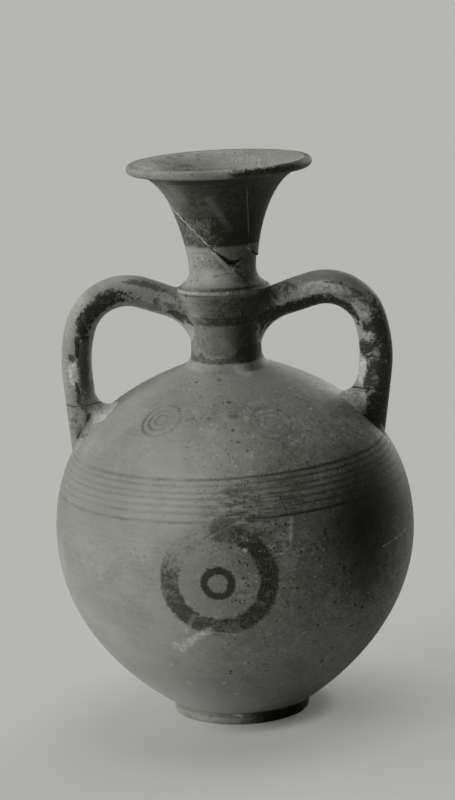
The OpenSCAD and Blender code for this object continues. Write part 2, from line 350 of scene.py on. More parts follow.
def foot_shell():
    """The foot ring's section turned once round, its edges soft and its standing edge a little chipped."""
    section = np.array([
        [FOOT_IN_R, 0], [FOOT_R - 1, 0], [FOOT_R, 1], [FOOT_R, FOOT_H - FILM], [FOOT_IN_R, FOOT_H - FILM],
        [FOOT_IN_R, 0]
    ])
    section = spaced(softened(section, 3), 60)[:-1]
    grid = turned(section, 240)
    phi = np.linspace(0, TURN, 240, endpoint=False)
    edge = np.exp(-((section[:, 1:] - 0.6) / 0.9) ** 2) * (section[:, :1] > 28)
    chip = np.clip(ruffle(14 * phi, 0 * phi, 5) - 0.45, 0, None) * edge
    grid[..., :2] *= (1 - 0.03 * chip)[..., None]
    return ring(grid)


def foot_luting_shell():
    """A smear in the corner of foot and body: a hollow curve from one to the other, turned once round."""
    low = np.array([FOOT_R - 0.15, FOOT_H - 2.2])
    corner = np.array([FOOT_R + 0.1, FOOT_H])
    high = np.array(along(BODY_OUT, 2.2)) + [-0.1, 0.15]
    smear = bezier(low, low + 0.7 * (corner - low), high + 0.7 * (corner - high), high, 14)
    back = np.array([[FOOT_R - 1.5, FOOT_H + 0.6], [FOOT_IN_R, FOOT_H], [FOOT_IN_R, FOOT_H - FILM]])
    return ring(turned(joined(smear, back), 240))


def neck_luting_shell():
    """A smear in the corner of neck and shoulder: a hollow curve from one to the other, turned round."""
    total = run_of(BODY_OUT)[-1]
    low = np.array(along(BODY_OUT, total - 4.6)) - [0, 0.2]
    high = np.array(along(NECK_OUT, 4.2)) - [0.15, 0]
    corner = np.array([NECK_R, BODY_H])
    smear = bezier(low, low + 0.6 * (corner - low), high + 0.6 * (corner - high), high, 18)
    deep = BODY_H - WALL
    back = np.array([[SPIGOT_R, SEAT_Z + 0.2], [SPIGOT_R, deep], [SEAT_R, deep], [SEAT_R, BODY_H - 1]])
    return ring(leaned(turned(joined(smear, back), 200), 1.0))


def break_height(x):
    """The height of the mouth's break across the jar: straight runs between its turns, finely ragged."""
    return np.interp(x, BREAK[:, 0], BREAK[:, 1]) + 0.18 * np.sin(1.9 * x) + 0.12 * np.sin(4.3 * x + 1)


def lost_edge(x, phi):
    """How much of the mouth's edge is lost at the bottom of the break, at the front."""
    return 1.5 * np.exp(-(((x - 3.4) / 4.6) ** 4)) * (np.cos(phi) > 0)


def under_break(x, phi):
    """How far the neck's edge lies from the middle of the break."""
    return -GAP / 2


def over_break(x, phi):
    """How far the mouth's edge lies from the middle of the break."""
    return GAP / 2 + lost_edge(x, phi)


def crossing(over):
    """The fractional row, for each column, where rows of numbers first rise past 0."""
    row = np.argmax(over > 0, axis=0)
    low = np.take_along_axis(over, (row - 1)[None], 0)[0]
    high = np.take_along_axis(over, row[None], 0)[0]
    return row - 1 - low / (high - low)


def break_run(line, phi, shift):
    """The length along a line, at each angle, where it first rises past the break moved by a shift."""
    run = np.linspace(0, run_of(line)[-1], 1500)[:, None]
    r, z = along(line, run)
    x = r * np.sin(phi)
    return crossing(z - break_height(x) - shift(x, phi)) * run[1, 0]


def between(start, stop, rows):
    """Rows of values in even steps from a start to a stop, each per column."""
    return start + (stop - start) * np.linspace(0, 1, rows)[:, None]


def neck_shell():
    """The neck up to the break: bore, spigot, seat and outside as one closed line at each angle."""
    phi = np.linspace(0, TURN, 240, endpoint=False)
    outer_end = break_run(NECK_OUT, phi, under_break)
    inner_end = break_run(NECK_IN, phi, under_break)
    inside = along(NECK_IN, between(inner_end, 0, 50))
    foot = np.array([[SPIGOT_R, SPIGOT_Z], [SPIGOT_R, SEAT_Z]])
    fixed = np.stack(along(NECK_OUT, np.linspace(0, NECK_FIXED, 110)), -1)
    fixed = np.vstack([foot, fixed])[:, :, None] + 0 * phi
    free = along(NECK_OUT, between(NECK_FIXED, outer_end, 60)[1:])
    r = np.vstack([inside[0], fixed[:, 0], free[0]])
    z = np.vstack([inside[1], fixed[:, 1], free[1]])
    outer = (np.arange(len(r)) >= 50).astype(float)[:, None]
    return ring(leaned(around(r, phi, z), outer))


def right_part(phi):
    """1 at the right of the mouth and 0 elsewhere, as a bell of the angle."""
    return np.exp(-(((phi - 1.5) / 0.7) ** 2))


def mouth_shell(start, stop, columns, sunk=0.0, step=0.0):
    """A slice of the mouth between two angles that depend on the radius, from the break to the lip and back
    inside. Angle, length along the outline and radius hang together, so they are worked out by repeated
    steps. The top rows lie at the same lengths all round. A step raises the broken edge towards the right,
    and the whole mouth was set a little to the right when it was mended."""
    share = np.linspace(0, 1, columns)
    fine = np.linspace(-TURN, TURN, 1441)
    halves = []
    for line, side in ((NECK_OUT, -1), (NECK_IN, 1)):
        total = run_of(line)[-1]
        edge = break_run(line, fine, over_break)
        t = np.append(np.linspace(0, 1, 60, endpoint=False), np.linspace(1, 2, 61))[:, None]
        fixed = total - 16
        r = np.full((len(t), columns), 30.0)
        for _ in range(60):
            held = np.maximum(r, 15.0)
            phi = start(held) + (stop(held) - start(held)) * share
            first = np.interp(phi, fine, edge)
            run = np.where(t < 1, first + (fixed - first) * t, fixed + 16 * (t - 1))
            r = 0.5 * r + 0.5 * along(line, run)[0]
        r, z = along(line, run)
        raised = step * np.exp(-(run - first) / 9) * right_part(phi) * (side < 0)
        halves.append((r + side * sunk + raised, phi, z))
    r, phi, z = (np.vstack([outer, inner[::-1][1:]]) for outer, inner in zip(*halves))
    outer = (np.arange(len(r)) < 121).astype(float)[:, None]
    place = around(r, phi, z)
    place[..., 0] += MOUTH_SHIFT
    return slice_of_ring(leaned(place, outer))


def crack(offset):
    """The angle at the front where the crack's plane, moved by an offset, cuts a circle of a radius."""
    return lambda r: np.arcsin(np.clip((CRACK_X + offset) / r, -1, 1))


def mend_shells():
    """The filling: a band along the break, set in a little and deep where the edge is lost, and a strip in
    the crack at front and back."""
    phi = np.linspace(0, TURN, 480, endpoint=False)
    low_out, high_out = (break_run(NECK_OUT, phi, shift) for shift in (under_break, over_break))
    low_in, high_in = (break_run(NECK_IN, phi, shift) for shift in (under_break, over_break))
    outer = [along(NECK_OUT, low_out + (high_out - low_out) * t) for t in (0, 0.5, 1)]
    inner = [along(NECK_IN, high_in + (low_in - high_in) * t) for t in (0, 0.5, 1)]
    deep = (0.14 + 0.1 * ruffle(9 * phi, 0 * phi, 11)) * (np.sin(phi) < 0.9)
    deep = deep + 0.9 * lost_edge(14 * np.sin(phi), phi)
    r = np.stack([p[0] - deep for p in outer] + [p[0] + 0.15 for p in inner])
    z = np.stack([p[1] for p in outer] + [p[1] for p in inner])
    side = np.array([1.0, 1, 1, 0, 0, 0])[:, None]
    upper = np.array([0, 0.5, 1, 1, 0.5, 0])[:, None]
    band = around(r + SHERD_STEP * right_part(phi) * side * upper, phi, z)
    band[..., 0] += MOUTH_SHIFT * upper
    half = GAP / 2
    front = mouth_shell(crack(-half), crack(half), 3, 0.12)
    back = mouth_shell(lambda r: np.pi - crack(half)(r), lambda r: np.pi - crack(-half)(r), 3)
    return [ring(leaned(band, side)), front, back]


def handle_path(h):
    """A handle's middle line by length: a straight rise from the neck, the main bend, a slower bend and a
    straight fall. The heading falls evenly through each bend, and the place is the sum of small steps along
    the heading."""
    rise, turn, lean = (np.radians(h[k]) for k in ("rise", "turn", "lean"))
    after = rise - turn
    reach = BELLY_R - h["inset"] - NECK_R
    reach -= h["bend"] * (np.sin(rise) - np.sin(after)) + h["slow"] * (np.sin(after) + 1)
    ends = np.cumsum([reach / np.cos(rise), h["bend"] * turn, h["slow"] * (np.pi / 2 + after + lean), 60])
    run = np.linspace(-12, ends[-1], 4000)
    heading = np.interp(run, [-12, *ends], [rise, rise, after, -np.pi / 2 - lean, -np.pi / 2 - lean])
    step = run[1] - run[0]
    x = np.cumsum(np.cos(heading)) * step
    z = np.cumsum(np.sin(heading)) * step
    x += NECK_R - np.interp(0, run, x)
    z += RIDGE_Z - h["drop"] - np.interp(0, run, z)
    return run, x, z, heading, ends


def neck_radius(z, phi):
    """The neck's outer radius, kept as wide above the ridge as the ridge is."""
    return np.interp(z, NECK_OUT[:, 1], np.maximum.accumulate(NECK_OUT[:, 0])) + sway(phi, z)


def body_radius(z, phi):
    """The body's outer radius."""
    return np.interp(z, BODY_OUT[:, 1], BODY_OUT[:, 0]) + sway(phi, z)


def meet(start, heading, reach, radius):
    """Where lines from start points along a heading first reach a turned surface, found on a fine scale."""
    far = np.linspace(0, reach, 900)[:, None, None]
    place = start + far * heading
    phi = np.arctan2(place[..., 0], -place[..., 1])
    under = radius(place[..., 2], phi) - np.hypot(place[..., 0], place[..., 1])
    return start + (crossing(under) * far[1, 0, 0])[:, None] * heading


def handle_skin(h, columns=72):
    """The whole outside of a handle, row by row from the neck to the shoulder, each row once round the
    handle. Round the roll, a quarter turn from its outer side is the front. The roll is a circle a little
    uneven along its middle line. At both ends a hollow curve leads from the roll to a wider ring on the neck
    or body: it is pulled towards the corner where roll and jar would meet. Two more numbers a point hold the
    angle, one the length."""
    run, px, pz, heading, ends = handle_path(h)
    theta = np.linspace(0, TURN, columns, endpoint=False)
    inner = np.clip(-np.cos(theta), 0, None)
    flank = np.sin(theta) ** 2
    side = h["side"]

    def roll(s, grow=0.0):
        uneven = 0.13 * ruffle(s / 9, 1.3 * np.cos(theta), 3 + side) + 0.1 * np.cos(2 * theta + s / 23)
        ray = h["radius"] + grow + uneven
        face = np.interp(s, run, heading)
        out = ray * np.cos(theta)
        x = np.interp(s, run, px) - out * np.sin(face)
        z = np.interp(s, run, pz) + out * np.cos(face)
        return np.stack([side * x, -ray * np.sin(theta), z], -1)

    def course(s):
        face = np.interp(s, run, heading)
        return np.array([side * np.cos(face), 0, np.sin(face)])

    start = 22.0
    up_spread = 0.3 + 3.0 * flank + 9.6 * inner ** 1.6
    up_length = 1.6 + 5.0 * flank + 11.0 * inner ** 1.4
    corner = meet(roll(start), -course(start), 40, neck_radius)
    ring_at = meet(roll(start, up_spread), -course(start), 44, neck_radius)
    begin = start - np.linalg.norm(corner - roll(start), axis=1) + up_length
    first = roll(begin)
    sink = np.stack([ring_at[:, 0], ring_at[:, 1], 0 * theta], -1)
    sink /= np.linalg.norm(sink, axis=1, keepdims=True)
    rows_up = bezier(
        ring_at - 0.4 * sink, ring_at + 0.6 * (corner - ring_at), first + 0.6 * (corner - first), first, 36
    )
    low = ends[2] - 2.0
    down_spread = 0.5 + 1.8 * flank + h["smear"] * inner ** 1.8
    down_length = 2.0 + 3.5 * flank + 13.0 * inner ** 1.5
    corner = meet(roll(low), course(low), 60, body_radius)
    ring_at = meet(roll(low, down_spread), course(low), 60, body_radius)
    finish = low + np.linalg.norm(corner - roll(low), axis=1) - down_length
    last = roll(finish)
    rows_down = bezier(
        last, last + 0.55 * (corner - last), ring_at + 0.5 * (corner - ring_at), ring_at - [0, 0, 0.4], 70
    )
    length = between(begin, finish, 220)
    place = np.vstack([rows_up, roll(length)[1:], rows_down[1:]])
    s = np.vstack([between(0 * begin, begin, 36), length[1:], between(finish, finish + down_length, 70)[1:]])
    place[..., 2] += lift(place) * np.clip(1 - s / 18, 0, 1)
    turn = np.stack(np.broadcast_arrays(np.cos(theta), np.sin(theta), s / SKIN_UNIT), -1)
    return np.concatenate([place, turn], -1)


def rows_at(skin, row):
    """A skin's points at fractional rows, each per column, by straight steps between its rows."""
    whole = np.clip(np.floor(row).astype(int), 0, len(skin) - 2)
    part = (row - whole)[..., None]
    column = np.arange(skin.shape[1])
    return skin[whole, column] * (1 - part) + skin[whole + 1, column] * part


def row_of_level(skin, level):
    """The fractional row, for each column, where a handle's falling half passes a level."""
    half = len(skin) // 2
    return half + crossing(level - skin[half:, :, 2])


def make_handle(side, finish, filler):
    """A handle's skin cut into its pieces: upper luting, roll to the break, filling, root, lower luting."""
    h = HANDLES[side]
    skin = handle_skin(h)
    columns = skin.shape[1]
    theta = np.linspace(0, TURN, columns, endpoint=False)
    level = h["snap"] + 0.25 * np.sin(3 * theta + 1) + 0.2 * np.sin(5 * theta)
    above = row_of_level(skin, level + GAP / 2)
    below = row_of_level(skin, level - GAP / 2)
    end = np.full(columns, len(skin) - 1.0)
    foot = below + 0.5 * (end - below)
    cut = np.full(columns, 35.0)
    filling = rows_at(skin, between(above, below, 4))
    middle = filling[..., :3].mean(1, keepdims=True)
    filling[..., :3] += 0.035 * (middle - filling[..., :3])
    make(f"{side}_upper_luting", [tube(rows_at(skin, between(0 * cut, cut, 36)))], finish)
    make(f"{side}_handle", [tube(rows_at(skin, between(cut, above, 240)))], finish)
    make(f"{side}_handle_mend", [tube(filling)], filler)
    make(f"{side}_handle_root", [tube(rows_at(skin, between(below, foot, 30)))], finish)
    make(f"{side}_lower_luting", [tube(rows_at(skin, between(foot, end, 40)))], finish)


# Finishes

def tone(r, g, b):
    """A colour written as it looks on a screen, 0 to 255, as the linear colour that a shader takes."""
    c = np.array([r, g, b]) / 255
    return (*np.where(c <= 0.04045, c / 12.92, ((c + 0.055) / 1.055) ** 2.4), 1.0)


def operator(operation, swapped=False):
    """A method that joins a value and another one by a Math node, with the other one first where swapped."""
    def method(self, other):
        a, b = (other, self) if swapped else (self, other)
        return self.math(operation, a, b)
    return method


class Value:
    """A number or vector in a finish, for ordinary sums and products."""
    __add__ = operator("ADD")
    __radd__ = operator("ADD", True)
    __sub__ = operator("SUBTRACT")
    __rsub__ = operator("SUBTRACT", True)
    __mul__ = operator("MULTIPLY")
    __rmul__ = operator("MULTIPLY", True)
    least = operator("MINIMUM")
    most = operator("MAXIMUM")

    def __init__(self, finish, socket):
        self.finish = finish
        self.socket = socket

    def math(self, operation, a, b=0.0):
        return self.finish.node("Math", {"operation": operation}, {0: a, 1: b})

    def over(self, low, high):
        """0 up to low, 1 past high and a soft rise between; the other way round where low is the greater."""
        sockets = {"Value": self, "From Min": low, "From Max": high}
        return self.finish.node("MapRange", {"interpolation_type": "SMOOTHSTEP"}, sockets)


class Finish:
    """A material with its nodes, its colour so far and the noises that its layers share."""

    def __init__(self, name):
        self.material = bpy.data.materials.new(name)
        self.material.use_nodes = True
        self.tree = self.material.node_tree
        self.tree.nodes.clear()
        place = self.node("TexCoord", {}, {}, "Object")
        self.at = self.vector("SCALE", place, Scale=1 / MM)
        self.x, self.y, self.z = self.parts(self.at)

    def node(self, kind, settings, sockets, out=0):
        """Any node: its settings first, then its sockets by name or number; hands out one of its outputs."""
        made = self.tree.nodes.new("ShaderNode" + kind)
        for key, value in settings.items():
            setattr(made, key, value)
        for key, value in sockets.items():
            if isinstance(value, Value):
                self.tree.links.new(value.socket, made.inputs[key])
            else:
                made.inputs[key].default_value = value
        return Value(self, made.outputs[out]) if made.outputs else None

    def vector(self, operation, a, b=None, out=0, **more):
        sockets = {0: a, **more}
        if b is not None:
            sockets[1] = b
        return self.node("VectorMath", {"operation": operation}, sockets, out)

    def parts(self, vector):
        """The three numbers of a vector."""
        made = self.node("SeparateXYZ", {}, {0: vector}).socket.node
        return [Value(self, socket) for socket in made.outputs]

    def skin(self):
        """The three numbers that a piece carries at each point."""
        return self.node("Attribute", {"attribute_name": "skin"}, {}, "Vector")

    def upright(self):
        """Where a point of neck or mouth would be on an upright jar, and 1 if it is on the outside."""
        place = self.vector("SCALE", self.skin(), Scale=SKIN_UNIT)
        return *self.parts(place), self.node("Attribute", {"attribute_name": "outer"}, {}, "Fac")

    def noise(self, size, detail=3.0, rough=0.55, stretch=None, shift=0.0):
        """Cloudy noise, 0 to 1 and mostly near a half, with lumps of a size in millimetres, or stretched
        along z or round the jar."""
        where = self.at
        if stretch:
            where = self.vector("MULTIPLY", where, stretch)
        if shift:
            where = self.vector("ADD", where, (shift, 2 * shift, -shift))
        sockets = {"Vector": where, "Scale": 1 / size, "Detail": detail, "Roughness": rough}
        return self.node("TexNoise", {}, sockets)

    def specks(self, size, reach, shift, flat=1.0):
        """Small spots strewn a size apart, their radius a part of it, their height less by a factor."""
        where = self.vector("MULTIPLY", self.at, (1, 1, flat))
        where = self.vector("ADD", where, (shift, 2 * shift, -shift))
        return self.node("TexVoronoi", {}, {"Vector": where, "Scale": 1 / size}).over(reach, 0.5 * reach)

    def mix(self, share, a, b):
        """Colour a with a share of colour b."""
        return self.node("Mix", {"data_type": "RGBA"}, {0: share, 6: a, 7: b}, 2)

    def coat(self, share, shade):
        """Lays a share of a shade over the colour so far."""
        self.colour = self.mix(share, self.colour, shade)

    def away(self, point, where=None):
        """The distance from a point."""
        return self.vector("LENGTH", self.vector("SUBTRACT", where or self.at, tuple(point)), out=1)

    def stroke(self, a, b, width):
        """A scratch between two points: 1 within it, soft at its edge, by the distance to it."""
        a, b = np.asarray(a, float), np.asarray(b, float)
        span = b - a
        step = self.vector("SUBTRACT", self.at, tuple(a))
        share = self.vector("DOT_PRODUCT", step, tuple(span / (span @ span)), 1)
        foot = self.vector("SCALE", tuple(span), Scale=share.most(0.0).least(1.0))
        gap = self.vector("LENGTH", self.vector("SUBTRACT", step, foot), out=1)
        return gap.over(1.2 * width, 0.2 * width)

    def band(self, value, low, high, soft):
        """1 between two values, with soft edges."""
        return value.over(low - soft, low + soft) * value.over(high + soft, high - soft)

    def worn(self, density, soft=0.1, noise=None):
        """Where paint is left: about a density's share of the surface, by whether a noise passes a limit."""
        return ((noise or self.fine) + 0.3 * density).over(0.65 - soft, 0.65 + soft)

    def patch(self, u, v, middle, reach, rag):
        """An oval in two coordinates, 1 inside, 0 outside, its edge pushed in and out by a ragged number."""
        a = (u - middle[0]) * (1 / reach[0])
        b = (v - middle[1]) * (1 / reach[1])
        return (a * a + b * b + rag).over(1.12, 0.88)

    def surface(self, roughness, height, depth):
        """The finished surface: the colour, a roughness and a relief whose full height is a depth in mm."""
        normal = self.node("Bump", {}, {"Strength": 1.0, "Distance": depth * MM, "Height": height})
        sockets = {"Base Color": self.colour, "Roughness": roughness, "Normal": normal}
        shader = self.node("BsdfPrincipled", {}, {**sockets, "Specular IOR Level": 0.3})
        self.node("OutputMaterial", {}, {"Surface": shader})
        return self.material


CLAY = tone(152, 154, 147)
CLAY_DULL = tone(136, 136, 129)
CLAY_PALE_AND_PAINTED_LIGHT = tone(182, 183, 176)
STAIN = tone(91, 92, 75)
PAINT = tone(45, 46, 30)
PAINT_DARK_AND_PAINTED_SHADE = tone(24, 25, 8)
PLASTER_AND_PAINTED_LIGHT = tone(205, 206, 199)
WHITE = tone(236, 236, 230)
DIRT_AND_PAINTED_SHADE = tone(22, 23, 5)
FLOOR_DULL = tone(148, 148, 146)
FLOOR_PALE = tone(214, 214, 211)
FLOOR_GLOW = tone(170, 170, 167)
FLOOR_PAINTED_SHADOW = tone(108, 108, 105)
BACKDROP = tone(177, 177, 174)

# Painted lines round the body: height, half width, strength
PAINTED_LINES = (
    (123.0, 0.5, 1.0), (120.7, 0.4, 0.85), (118.0, 0.4, 0.75), (115.7, 0.4, 0.8), (112.9, 0.4, 0.8),
    (110.1, 0.4, 0.8), (106.4, 0.6, 1.0)
)
# Middles of the painted rings: the great one, the small one in it, and the two marks on the shoulder
GREAT_RING = (-8.0, -79.5, 80.2)
SMALL_RING = (-8.4, -79.4, 79.4)
SHOULDER_RINGS = ((-29.8, -39.3, 143.1), (17.8, -47.8, 141.9))
# Dark pits and pale chips at the front of the body: distance across, height, size, strength
BODY_PITS = (
    (1.9, 144.6, 2.6, 0.35), (0.2, 149.4, 1.2, 0.8), (-13.7, 155.1, 1.0, 0.6), (-3.7, 156.1, 1.2, 0.5),
    (1.2, 140.4, 1.1, 0.6), (3.1, 136.2, 1.0, 0.6), (6.8, 132.8, 1.1, 0.6), (-15.4, 144.3, 0.9, 0.5),
    (-12.4, 144.6, 0.7, 0.4), (-9.3, 144.5, 0.9, 0.45), (50.7, 60.9, 1.3, 0.8), (53.8, 58.7, 1.1, 0.8),
    (49.1, 50.8, 1.1, 0.8), (34, 55.3, 1.0, 0.7), (40, 41, 1.1, 0.8), (39.9, 33.6, 1.0, 0.8),
    (35.4, 34.7, 1.0, 0.8), (46.3, 79.9, 1.1, 0.8), (38.6, 96.9, 1.1, 0.8), (36, 86.6, 1.1, 0.7),
    (22.8, 133.7, 2.4, 0.4), (-4.7, 35.5, 0.9, 0.8), (-4.9, 33.8, 0.8, 0.8), (-46.9, 29.5, 0.9, 0.6)
)
BODY_CHIPS = (
    (3.8, 93.8, 1.3, 0.8), (35.6, 143.5, 1.0, 0.9), (-30.5, 37.9, 1.2, 0.6), (7.7, 157.6, 4.2, 0.75),
    (-22.9, 27.3, 1.8, 0.5), (-7.7, 28.1, 1.2, 0.6), (-2.6, 20.8, 1.6, 0.6), (-1.9, 5.4, 1.8, 0.6),
    (8, 131.3, 2.6, 0.35), (7.1, 144.1, 1.8, 0.35), (1.8, 39.4, 1.0, 0.5)
)
# Scratches there: both ends, width, strength
BODY_SCRATCHES = (
    ((24.3, 105.4), (23.2, 92.6), 0.8, 0.55), ((24.2, 103.5), (23.4, 97), 1.3, 0.6),
    ((-10.7, 99.9), (4.1, 106.8), 0.6, 0.5), ((-28.3, 48.6), (-13, 57.1), 2.6, 0.95),
    ((-25.2, 46.8), (-17.3, 55), 2.0, 0.9), ((-23.2, 56.1), (-19.5, 64.3), 1.3, 0.5),
    ((-13, 56.5), (-2.4, 55), 0.8, 0.6), ((26.3, 133.5), (32.2, 136.1), 0.6, 0.6),
    ((64.2, 84), (70.3, 85), 0.45, 0.8), ((70.3, 85), (75.1, 86), 0.45, 0.8),
    ((47.1, 142), (49.2, 140.9), 0.6, 0.7), ((24.3, 49.9), (28.3, 52.9), 0.6, 0.7),
    ((-73.5, 111.4), (-71.7, 105), 0.6, 0.4)
)


def on_body(x, z):
    """The place on the front of the body at a distance across and a height."""
    phi = np.arcsin(x / body_radius(z, 0))
    return x, -np.sqrt(body_radius(z, phi) ** 2 - x ** 2), z


def bare_clay(f, aged):
    """Burnished clay without paint, smooth and even where aged is 0, stained, flecked and pitted where it is
    1: its colour and fine grain go to the finish, its roughness and relief are handed back."""
    f.grain = grain = f.noise(1.3, 4, 0.75, shift=3)
    cloud = f.noise(26, 4, 0.6)
    mottle = f.noise(5, 5, 0.68, shift=13)
    wheel = f.noise(1.0, 3, 0.6, stretch=(0.03, 0.03, 0.55))
    f.colour = f.mix(cloud.over(0.38, 0.6), CLAY_DULL, CLAY)
    f.coat(wheel.over(0.5, 0.68) * 0.16, CLAY_PALE_AND_PAINTED_LIGHT)
    f.coat(aged * mottle.over(0.36, 0.6) * 0.6, STAIN)
    f.coat(grain.over(0.5, 0.64) * (0.12 + 0.22 * aged), CLAY_PALE_AND_PAINTED_LIGHT)
    f.coat(grain.over(0.48, 0.34) * (0.16 + 0.34 * aged), STAIN)
    some = 0.3 + 0.7 * aged
    fleck = f.specks(3.6, 0.22, 7, 1.6) * f.noise(11, 2, shift=7).over(0.46, 0.54) * some
    fleck = fleck.most(f.specks(2.3, 0.24, 59, 1.6) * f.noise(8, 2, shift=53).over(0.46, 0.55) * aged * 0.9)
    pit = f.specks(3.2, 0.22, 31) * f.noise(9, 2, shift=19).over(0.43, 0.53) * some
    pit = pit.most(f.specks(1.7, 0.26, 47) * f.noise(7, 2, shift=37).over(0.44, 0.53) * aged)
    f.coat(fleck * 0.8, PLASTER_AND_PAINTED_LIGHT)
    f.coat(pit * 0.95, DIRT_AND_PAINTED_SHADE)
    roughness = 0.42 + 0.14 * grain + 0.1 * cloud + 0.1 * aged
    height = 0.3 * grain + 0.2 * wheel + aged * (0.35 * grain + 0.3 * mottle) - 1.1 * pit + 0.2 * fleck
    return roughness, height


def line_paint(f):
    """The lines round the body, whole at the right and faded at the left, and the smear and blot where they
    run into the great ring."""
    dash = f.noise(1.0, 5, 0.68, stretch=(0.12, 0.12, 0.5), shift=41)
    level = f.z - 0.022 * f.x + 0.8 * (f.noise(26, 1, shift=5) - 0.5) + 0.9 * (f.grain - 0.5)
    lines = 0 * f.grain
    for at, half, strength in PAINTED_LINES:
        lines = lines.most(f.band(level, at - half, at + half, 0.55) * strength)
    right = f.x.over(-26, 24)
    left_on = f.worn(0.45 + 0.3 * right, noise=0.5 * dash + 0.5 * f.fine)
    kept = 0.3 + 0.2 * right + (0.7 - 0.2 * right) * left_on
    faded = (0.66 + 0.34 * f.noise(15, 2, shift=23).over(0.38, 0.58)).most(right)
    paint = lines * kept * (0.52 + 0.48 * right) * faded
    smear = f.away((3, -76, 109)).over(24, 6).most(f.away((22, -71, 114)).over(22, 4) * 0.8)
    for place in ((-6.4, -77.8, 102.9), (11.6, -77.1, 102.6)):
        smear = smear.most(f.away(place).over(8, 3))
    paint = paint.most(smear * f.worn(0.48, 0.07, 0.55 * dash + 0.45 * f.fine) * 0.8)
    blot = (f.away((-5.6, -77.9, 102.2)) + 2.0 * f.edge).over(6.8, 4.2)
    return paint.most(blot * (0.5 + 0.3 * f.worn(0.6)))


def ring_paint(f, clear):
    """The great ring at the front, worn off in places, with the small one in it, and the marks on the
    shoulder, each of three rings, which are there again at the back."""
    small = f.band(f.away(SMALL_RING) + 0.8 * f.edge, 4.2, 7.6, 0.5) * (0.9 + 0.1 * f.worn(0.55))
    lost = f.away((-21, -74, 99)).over(19, 9)
    density = 0.64 + 0.06 * f.x.over(-4, 8) - 0.34 * lost
    for place, far, near, change in (
        ((3, -77, 104), 12, 4, -0.16), ((-26, -70, 64), 14, 5, 0.2), ((-3, -75, 56), 8, 3, -0.2)
    ):
        density = density + change * f.away(place).over(far, near)
    great = f.band(f.away(GREAT_RING) + 1.2 * f.edge, 17.8, 26.0, 0.9) * (1 - 0.1 * f.x.over(-6, -20))
    great = great * (0.3 + 0.7 * f.worn(density) - 0.26 * lost)
    paint = small.most(great) * clear
    mirror = f.node("CombineXYZ", {}, {0: f.x, 1: f.y.math("ABSOLUTE", f.y) * -1, 2: f.z})
    left = f.away((-38, -36, 141), mirror).over(10, 3)
    strength = 0.46 * (0.2 + 0.8 * f.worn(0.44 + 0.4 * left)) * (1 + 0.5 * left)
    for middle in SHOULDER_RINGS:
        gap = f.away(middle, mirror) + 0.5 * f.edge
        for low, high, soft in ((2.5, 3.5, 0.6), (5.4, 6.4, 0.6), (8.5, 9.7, 0.7)):
            paint = paint.most(f.band(gap, low, high, soft) * strength)
    return paint


def body_marks(f):
    """Pits, scratches and chips at the front of the body."""
    for x, z, size, strength in BODY_PITS:
        spot = f.away(on_body(x, z)) * (1 / size) + 2.0 * (f.mottle - 0.5) + 1.6 * (f.grain - 0.5)
        f.coat(spot.over(1.1, 0.5) * strength, DIRT_AND_PAINTED_SHADE)
    scratch = 0.2 + 0.8 * f.worn(0.45, 0.07)
    for a, b, width, strength in BODY_SCRATCHES:
        f.coat(f.stroke(on_body(*a), on_body(*b), width) * scratch * strength, PLASTER_AND_PAINTED_LIGHT)
    for x, z, size, strength in BODY_CHIPS:
        chip = f.away(on_body(x, z)) * (1 / size) + 3.0 * (f.grain - 0.5)
        f.coat(chip.over(1.0, 0.4) * strength, PLASTER_AND_PAINTED_LIGHT)


def body_finish():
    """Body and foot: bare clay with painted light low on the left and just above the foot, aged towards the
    right and darker there, partly stain and partly painted shade, with the painted lines and rings, a foot
    darker towards the right, partly soil and partly painted shade, and the marks of use."""
    f = Finish("painted_body")
    aged = f.x.over(-28, 10) * (0.5 + 0.5 * f.band(f.z, 56, 134, 16))
    aged = aged.most(0.55 * f.band(f.z, 122, 158, 8) * f.x.over(-34, -6))
    roughness, height = bare_clay(f, aged)
    f.mottle = f.noise(3.6, 5, 0.68, shift=11)
    f.fine = 0.35 * f.mottle + 0.65 * f.grain
    f.edge = 2.4 * (f.mottle - 0.5) + 4.0 * (f.grain - 0.5)
    clear = f.y.over(0, -20)
    flank = f.band(f.x, 46, 67, 10) * f.y.over(-2, -24)
    for zone, strength, shade in (
        # Painted light: paler low on the left
        (f.x.over(6, -24) * f.z.over(84, 50), 0.3, CLAY_PALE_AND_PAINTED_LIGHT),
        # Painted light: paler just above the foot at the front
        (f.z.over(32, 8) * f.z.over(4.6, 6.6) * f.x.over(24, 0) * clear, 0.6, PLASTER_AND_PAINTED_LIGHT),
        (f.x.over(-20, -50) * f.band(f.z, 96, 122, 8), 0.5, CLAY_DULL),
        (f.x.over(-36, -58) * f.band(f.z, 88, 142, 14), 0.26, STAIN),
        (f.away((-9, -66, 122)).over(38, 8), 0.42, CLAY_PALE_AND_PAINTED_LIGHT),
        (f.away((-40, -45, 132)).over(36, 10), 0.2, STAIN),
        (f.z.over(146, 156) * f.band(f.x, -18, 28, 10), 0.5, CLAY_PALE_AND_PAINTED_LIGHT),
        # Painted shade with some stain: darker on the right of the belly, on its right flank and low on the
        # right
        (f.x.over(20, 54) * f.band(f.z, 82, 118, 18), 0.8, DIRT_AND_PAINTED_SHADE),
        (flank * f.band(f.z, 66, 130, 14), 0.66, DIRT_AND_PAINTED_SHADE),
        (f.x.over(12, 30) * f.z.over(28, 10), 0.6, DIRT_AND_PAINTED_SHADE),
    ):
        f.coat(zone * strength, shade)
    paint = line_paint(f).most(ring_paint(f, clear))
    f.coat(paint, PAINT)
    # Darker round the foot towards the right: partly soil, partly painted shade
    foot_soil_and_shade = f.band(f.z, -1, 6.5, 0.8) * (0.3 + 0.7 * f.worn(0.42 + 0.8 * f.x.over(-4, 18)))
    foot_soil_and_shade = foot_soil_and_shade * (0.5 + 0.5 * f.x.over(-10, 14))
    f.coat(foot_soil_and_shade * f.y.over(26, 4), DIRT_AND_PAINTED_SHADE)
    body_marks(f)
    return f.surface(roughness + 0.35 * flank.most(foot_soil_and_shade), height + 0.2 * paint, 0.16)


